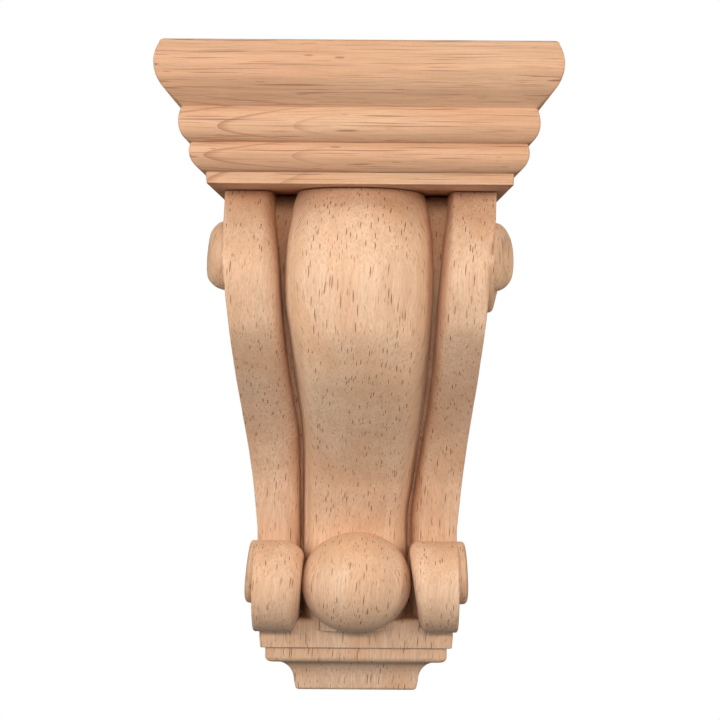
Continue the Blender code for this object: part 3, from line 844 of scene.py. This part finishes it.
def noise(shade, u, v, w, across, along, detail, seed, roughness=0.5):
    """Noise whose patches are across wide and along long, in millimetres; about 0.5 on average."""
    position = shade.vector(u / across + seed, v / across + seed, w / along + seed)
    return shade.node("ShaderNodeTexNoise", {"Vector": position, "Scale": 1.0, "Detail": detail,
                                             "Roughness": roughness})


def pores(shade, u, v, w, cell, length, radius, seed):
    """Cut vessels: one long thin ellipsoid in each cell of a grid stretched along the grain.

    A cell is cell wide and length long; radius is the ellipsoid's half width as a share of the
    cell. Torn fibres draw a cut vessel out over a slope, so the cells are also stretched into the
    surface: along v where it faces v, along u where it faces u. The result is 1 in the middle of a
    pore, with a random strength for each, and 0 outside.
    """
    def layer(across_u, across_v):
        position = shade.vector(u / across_u + seed, v / across_v + seed, w / length + seed)
        cells = shade.node("ShaderNodeTexVoronoi", {"Vector": position, "Scale": 1.0, "Randomness": 1.0},
                           feature="F1", distance="EUCLIDEAN")
        colour = Shade(shade.tree, cells.socket.node.outputs["Color"])
        strength = shade.node("ShaderNodeSeparateColor", {0: colour})
        reach = strength.between(0.0, 1.0, PORE_THINNEST * radius, radius)
        inside = (1 - cells / reach).between(0.0, PORE_SOFT_EDGE)
        return inside * strength.between(*PORE_STRENGTHS)

    normal = shade.node("ShaderNodeNewGeometry", output=1)
    normal_x = shade.node("ShaderNodeSeparateXYZ", {0: normal})
    sideways = shade.maths("ABSOLUTE", normal_x).between(*PORE_TURN)
    facing_v = layer(cell, cell * PORE_DRAW)
    facing_u = layer(cell * PORE_DRAW, cell)
    return facing_v * (1 - sideways) + facing_u * sideways


def growth_rings(shade, u, v, w, finish):
    """Thin dark lines where growth layers end: nearly flat layers, a spacing apart, that tilt
    along the grain and ripple a little. Each line grows darker towards the layer's end, and the
    lines fade along the grain and above a height."""
    ripple = noise(shade, u, v, w, *RIPPLE_NOISE) - 0.5
    depth = (u + RING_LEAN * v + w * finish.ring_tilt + ripple * finish.ring_ripple) / finish.ring_spacing
    layer = shade.maths("FRACT", depth + finish.ring_phase)
    low = v.between(finish.ring_top - RING_TOP_FADE, finish.ring_top, 1.0, 0.0)
    return layer.between(*RING_LINE) * low * w.between(*RING_END_FADE)


def wood_material(name, finish, along_x):
    """Bare sanded wood, pale and pinkish, with open pores along the grain.

    Broad and fine noise stretched along the grain mixes the tones, growth layers and threads of
    darker fibres draw lines, and the pores darken the colour and sink a little.
    """
    material, shade = new_material(name)
    u, v, w = grain_coordinates(shade, along_x)

    sway = noise(shade, u, v, w, *SWAY_NOISE) - 0.5
    u = u + sway * finish.sway + w * finish.slope
    v = v + sway * finish.sway

    broad = noise(shade, u, v, w, *BROAD_NOISE)
    bands = noise(shade, u, v, w, *BAND_NOISE)
    fibres = noise(shade, u, v, w, *FIBRE_NOISE)
    threads = noise(shade, u, v, w, *THREAD_NOISE)
    speckle = noise(shade, u, v, w, *SPECKLE_NOISE)
    rings = growth_rings(shade, u, v, w, finish)

    long_pores = pores(shade, u, v, w, finish.pore_spacing, finish.pore_length, finish.pore_width, 0.0)
    spacing, length, width = SMALL_PORES
    small_pores = pores(shade, u, v, w, spacing * finish.pore_spacing, length * finish.pore_length,
                        width * finish.pore_width, SMALL_PORE_SEED)
    open_grain = shade.maths("MAXIMUM", long_pores, small_pores * SMALL_PORE_STRENGTH)

    colour = broad.between(*BROAD_SPAN).blend(rgba(finish.light), rgba(finish.deep))
    for amount, tone in (
        (bands.between(*BAND_SPAN) * finish.band, finish.streak),
        (fibres.between(*FIBRE_SPAN) * finish.fibre, finish.streak),
        (threads.between(*THREAD_SPAN) * finish.thread, finish.streak_dark),
        (rings * finish.ring_strength, finish.streak_dark),
        (speckle.between(*SPECKLE_SPAN) * finish.speckle, finish.pore),
        (open_grain * finish.pore_strength, finish.pore),
    ):
        colour = amount.blend(colour, rgba(tone))

    height = fibres * FIBRE_HEIGHT + speckle * SPECKLE_HEIGHT - open_grain
    bump = shade.node("ShaderNodeBump", {"Height": height, "Strength": BUMP_STRENGTH, "Distance": BUMP_DEPTH})
    roughness = fibres.between(*ROUGHNESS_SPAN, finish.roughness - FIBRE_ROUGHNESS,
                               finish.roughness + FIBRE_ROUGHNESS) + open_grain * PORE_ROUGHNESS
    shader = shade.node("ShaderNodeBsdfPrincipled", {"Base Color": colour, "Roughness": roughness.clamp(),
                                                     "Normal": bump, "Specular IOR Level": WOOD_SPECULAR})
    shade.node("ShaderNodeOutputMaterial", {"Surface": shader})
    return material


def hand_over(obj, node, material):
    """Give a piece its wood and let it stand for its part of the frame."""
    obj.data.materials.clear()
    obj.data.materials.append(material)
    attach(obj, "root")
    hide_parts(node)


def stage_object(name, rings, material):
    """A surface of revolution about the upright axis; rings are (radius, height) pairs."""
    angle = full_turn(STAGE_STEPS)
    radius, z = np.array(rings).T[:, :, None]
    points = np.stack(np.broadcast_arrays(radius * np.cos(angle), radius * np.sin(angle), z), axis=-1)
    quads, _, _ = grid_faces(len(rings), STAGE_STEPS)
    data = bpy.data.meshes.new(name)
    data.from_pydata(points.reshape(-1, 3), [], quads)
    data.shade_smooth()
    data.materials.append(material)
    obj = new_object(name, data)
    return obj


def floor_material(colour):
    """A matt pale floor that fades out towards its rim."""
    material, shade = new_material("pale floor")
    position = shade.node("ShaderNodeTexCoord", output=3)
    distance = shade.node("ShaderNodeVectorMath", {0: position}, 1, operation="LENGTH")
    alpha = distance.between(*FLOOR_FADE, 1.0, 0.0)
    shader = shade.node("ShaderNodeBsdfPrincipled", {"Base Color": rgba(colour), "Alpha": alpha,
                                                     "Roughness": FLOOR_ROUGHNESS})
    shade.node("ShaderNodeOutputMaterial", {"Surface": shader})
    return material


def white_material():
    """The white of the surround, which lights nothing."""
    material, shade = new_material("white surround")
    shader = shade.node("ShaderNodeEmission", {"Color": (1, 1, 1, 1), "Strength": 1.0})
    shade.node("ShaderNodeOutputMaterial", {"Surface": shader})
    return material


def make_stage(settings):
    """A round pale floor, and a white sphere around it all that only the camera sees."""
    rings = [(radius, FLOOR_HEIGHT) for radius in np.linspace(STAGE_HUB, FLOOR_RADIUS, FLOOR_RINGS)]
    floor = stage_object("floor", rings, floor_material(settings.floor_colour))
    angle = np.linspace(-pi / 2, pi / 2, STAGE_STEPS // 2)
    radius = SURROUND_RADIUS * np.cos(angle) + STAGE_HUB
    height = SURROUND_RADIUS * np.sin(angle)
    surround = stage_object("surround", np.stack([radius, height], axis=-1), white_material())
    surround.visible_shadow = False
    for obj in (floor, surround):
        obj.visible_diffuse = False
        obj.visible_glossy = False


def add_light(name, light, power, mirrored=1):
    """A soft rectangular light that points at the corbel's middle and doesn't show."""
    (x, y, z), size, colour = light
    data = bpy.data.lights.new(name, "AREA")
    data.shape = "RECTANGLE"
    data.size, data.size_y = size
    data.energy = power
    data.color = colour
    obj = new_object(name, data)
    obj.location = (mirrored * x, y, z)
    obj.rotation_euler = (Vector(LIGHT_TARGET) - obj.location).to_track_quat("-Z", "Y").to_euler()
    obj.visible_camera = False


def make_lights(settings):
    """A wide low key and a cooler top light in front, a fill from the left, an edge light on each
    side, a faint bounce from below, one light behind for the back, and a dim white surround."""
    add_light("key", KEY, settings.key_power)
    add_light("top light", TOP_LIGHT, settings.top_power)
    add_light("side fill", SIDE_FILL, settings.fill_power)
    add_light("right edge light", EDGE_LIGHT, settings.edge_power)
    add_light("left edge light", EDGE_LIGHT, settings.edge_power, mirrored=-1)
    add_light("bounce light", BOUNCE_LIGHT, settings.bounce_power)
    add_light("back light", BACK_LIGHT, settings.back_power)
    world = bpy.data.worlds.new("soft light")
    world.use_nodes = True
    background = world.node_tree.nodes["Background"]
    background.inputs["Color"].default_value = (1, 1, 1, 1)
    background.inputs["Strength"].default_value = settings.surround
    bpy.context.scene.world = world
    bpy.context.scene.view_settings.view_transform = "Standard"


def make_camera():
    data = bpy.data.cameras.new("camera")
    data.lens = CAMERA_LENS
    data.sensor_width = SENSOR_WIDTH
    camera = new_object("camera", data)
    camera.location = CAMERA_PLACE
    camera.rotation_euler = (CAMERA_PITCH, CAMERA_ROLL, CAMERA_YAW)
    bpy.context.scene.camera = camera


def length_property(name, description, default):
    return bpy.props.FloatProperty(name=name, description=description, default=default, min=0.0,
                                   subtype="DISTANCE", unit="LENGTH", precision=5)


def colour_property(name, description, default):
    return bpy.props.FloatVectorProperty(name=name, description=description, default=default, size=3,
                                         min=0.0, max=1.0, subtype="COLOR")


def share_property(name, description, default):
    return bpy.props.FloatProperty(name=name, description=description, default=default, min=0.0, max=1.0,
                                   subtype="FACTOR")


def number_property(name, description, default, low=0.0):
    return bpy.props.FloatProperty(name=name, description=description, default=default, min=low)


class CorbelCapSizes(bpy.types.PropertyGroup):
    """Sizes of the moulded cap."""

    width: length_property("Width", "Widest line of the cap from side to side", CAP_WIDTH)
    depth: length_property("Depth", "From the wall to the front of the cap", CAP_DEPTH)
    height: length_property("Height", "From the underside to the top of the cap", CAP_HEIGHT)
    top_round: length_property("Top edge", "Radius of the cap's sanded top edge", TOP_EDGE_ROUND)


class CorbelBodySizes(bpy.types.PropertyGroup):
    """Sizes of the scrolled body."""

    top_width: length_property("Top width", "Width of the body under the cap", BODY_TOP_WIDTH)
    neck_width: length_property("Neck width", "Width of the body above the lower scrolls", NECK_WIDTH)


class CorbelWood(bpy.types.PropertyGroup):
    """One wood finish."""

    light: colour_property("Light wood", "Palest tone of the wood", (0.79, 0.535, 0.375))
    deep: colour_property("Deep wood", "Deeper, warmer tone in broad patches", (0.74, 0.455, 0.29))
    streak: colour_property("Streaks", "Colour of the bands and fibres", (0.60, 0.36, 0.22))
    streak_dark: colour_property("Dark lines", "Colour of the threads and growth layers", (0.42, 0.21, 0.12))
    pore: colour_property("Pores", "Colour inside the open pores", (0.27, 0.115, 0.06))
    band: share_property("Bands", "Strength of the broad bands", 0.45)
    fibre: share_property("Fibres", "Strength of the fine fibres", 0.62)
    thread: share_property("Threads", "Strength of the long thin dark fibres", 0.22)
    ring_strength: share_property("Growth lines", "How dark the ends of the growth layers are", 0.10)
    ring_spacing: number_property("Growth spacing", "Distance between growth layers, mm", 4.2, 0.2)
    ring_tilt: number_property("Growth tilt", "Slope of the growth layers along the grain", 0.03, -1.0)
    ring_ripple: number_property("Growth ripple", "How far the growth layers wander, mm", 3.0)
    ring_top: number_property("Growth top", "Height above which no growth line shows, mm", 1000.0)
    ring_phase: number_property("Growth phase", "Moves the growth layers, in spacings", 0.0)
    speckle: share_property("Speckle", "Strength of the finest speckle", 0.08)
    pore_strength: share_property("Pore strength", "How dark the pores are", 0.95)
    pore_spacing: number_property("Pore spacing", "Distance between pores across the grain, mm", 0.65, 0.1)
    pore_length: number_property("Pore length", "Distance between pores along the grain, mm", 9.0, 0.5)
    pore_width: share_property("Pore width", "Half width of a pore as a share of the spacing", 0.29)
    roughness: share_property("Roughness", "Roughness of the sanded wood", 0.62)
    sway: number_property("Sway", "How far the grain wanders, mm", 3.0)
    slope: number_property("Slope", "Slope of the grain", -0.05, -1.0)


class CorbelStage(bpy.types.PropertyGroup):
    """Floor and lights."""

    floor_colour: colour_property("Floor", "Colour of the floor", (0.88, 0.88, 0.88))
    key_power: number_property("Key light", "Power of the wide light in front, W", 2.05)
    top_power: number_property("Top light", "Power of the light above, W", 0.8)
    fill_power: number_property("Side fill", "Power of the fill from the left, W", 0.6)
    edge_power: number_property("Edge lights", "Power of the light on each side, W", 1.4)
    bounce_power: number_property("Bounce light", "Power of the faint light from below, W", 0.68)
    back_power: number_property("Back light", "Power of the light behind, W", 2.5)
    surround: number_property("Surround", "Strength of the dim light from all round", 0.05)


class CorbelSettings(bpy.types.PropertyGroup):
    """All that a user would change."""

    cap: bpy.props.PointerProperty(type=CorbelCapSizes)
    body: bpy.props.PointerProperty(type=CorbelBodySizes)
    cap_wood: bpy.props.PointerProperty(type=CorbelWood)
    body_wood: bpy.props.PointerProperty(type=CorbelWood)
    stage: bpy.props.PointerProperty(type=CorbelStage)


class CORBEL_OT_cap(bpy.types.Operator):
    """Build the moulded cap with its wood."""

    bl_idname = "corbel.cap"
    bl_label = "Build cap"

    def execute(self, context):
        settings = context.scene.corbel
        cap = make_cap(settings.cap)
        hand_over(cap, "cap", wood_material("cap wood", settings.cap_wood, True))
        return {"FINISHED"}


class CORBEL_OT_body(bpy.types.Operator):
    """Build the scrolled body with its wood."""

    bl_idname = "corbel.body"
    bl_label = "Build body"

    def execute(self, context):
        settings = context.scene.corbel
        body = make_body(settings.body)
        hand_over(body, "body", wood_material("body wood", settings.body_wood, False))
        return {"FINISHED"}


class CORBEL_OT_stage(bpy.types.Operator):
    """Set up the floor, the lights and the camera."""

    bl_idname = "corbel.stage"
    bl_label = "Build stage"

    def execute(self, context):
        settings = context.scene.corbel.stage
        make_stage(settings)
        make_lights(settings)
        make_camera()
        return {"FINISHED"}


class CORBEL_PT_panel(bpy.types.Panel):
    """Lists the corbel's settings and operators."""

    bl_idname = "CORBEL_PT_panel"
    bl_label = "Carved corbel"
    bl_space_type = "VIEW_3D"
    bl_region_type = "UI"
    bl_category = "Corbel"

    def draw(self, context):
        settings = context.scene.corbel
        for operator, group in (("corbel.cap", settings.cap), ("corbel.body", settings.body),
                                (None, settings.cap_wood), (None, settings.body_wood),
                                ("corbel.stage", settings.stage)):
            box = self.layout.box()
            for name in group.__annotations__:
                box.prop(group, name)
            if operator:
                box.operator(operator)


CLASSES = (CorbelCapSizes, CorbelBodySizes, CorbelWood, CorbelStage, CorbelSettings, CORBEL_OT_cap,
           CORBEL_OT_body, CORBEL_OT_stage, CORBEL_PT_panel)


def register():
    for cls in CLASSES:
        bpy.utils.register_class(cls)
    bpy.types.Scene.corbel = bpy.props.PointerProperty(type=CorbelSettings)


def unregister():
    del bpy.types.Scene.corbel
    for cls in reversed(CLASSES):
        bpy.utils.unregister_class(cls)


def main():
    register()
    for name, value in CAP_WOOD.items():
        setattr(bpy.context.scene.corbel.cap_wood, name, value)
    bpy.ops.corbel.cap()
    bpy.ops.corbel.body()
    bpy.ops.corbel.stage()


if __name__ == "__main__":
    main()
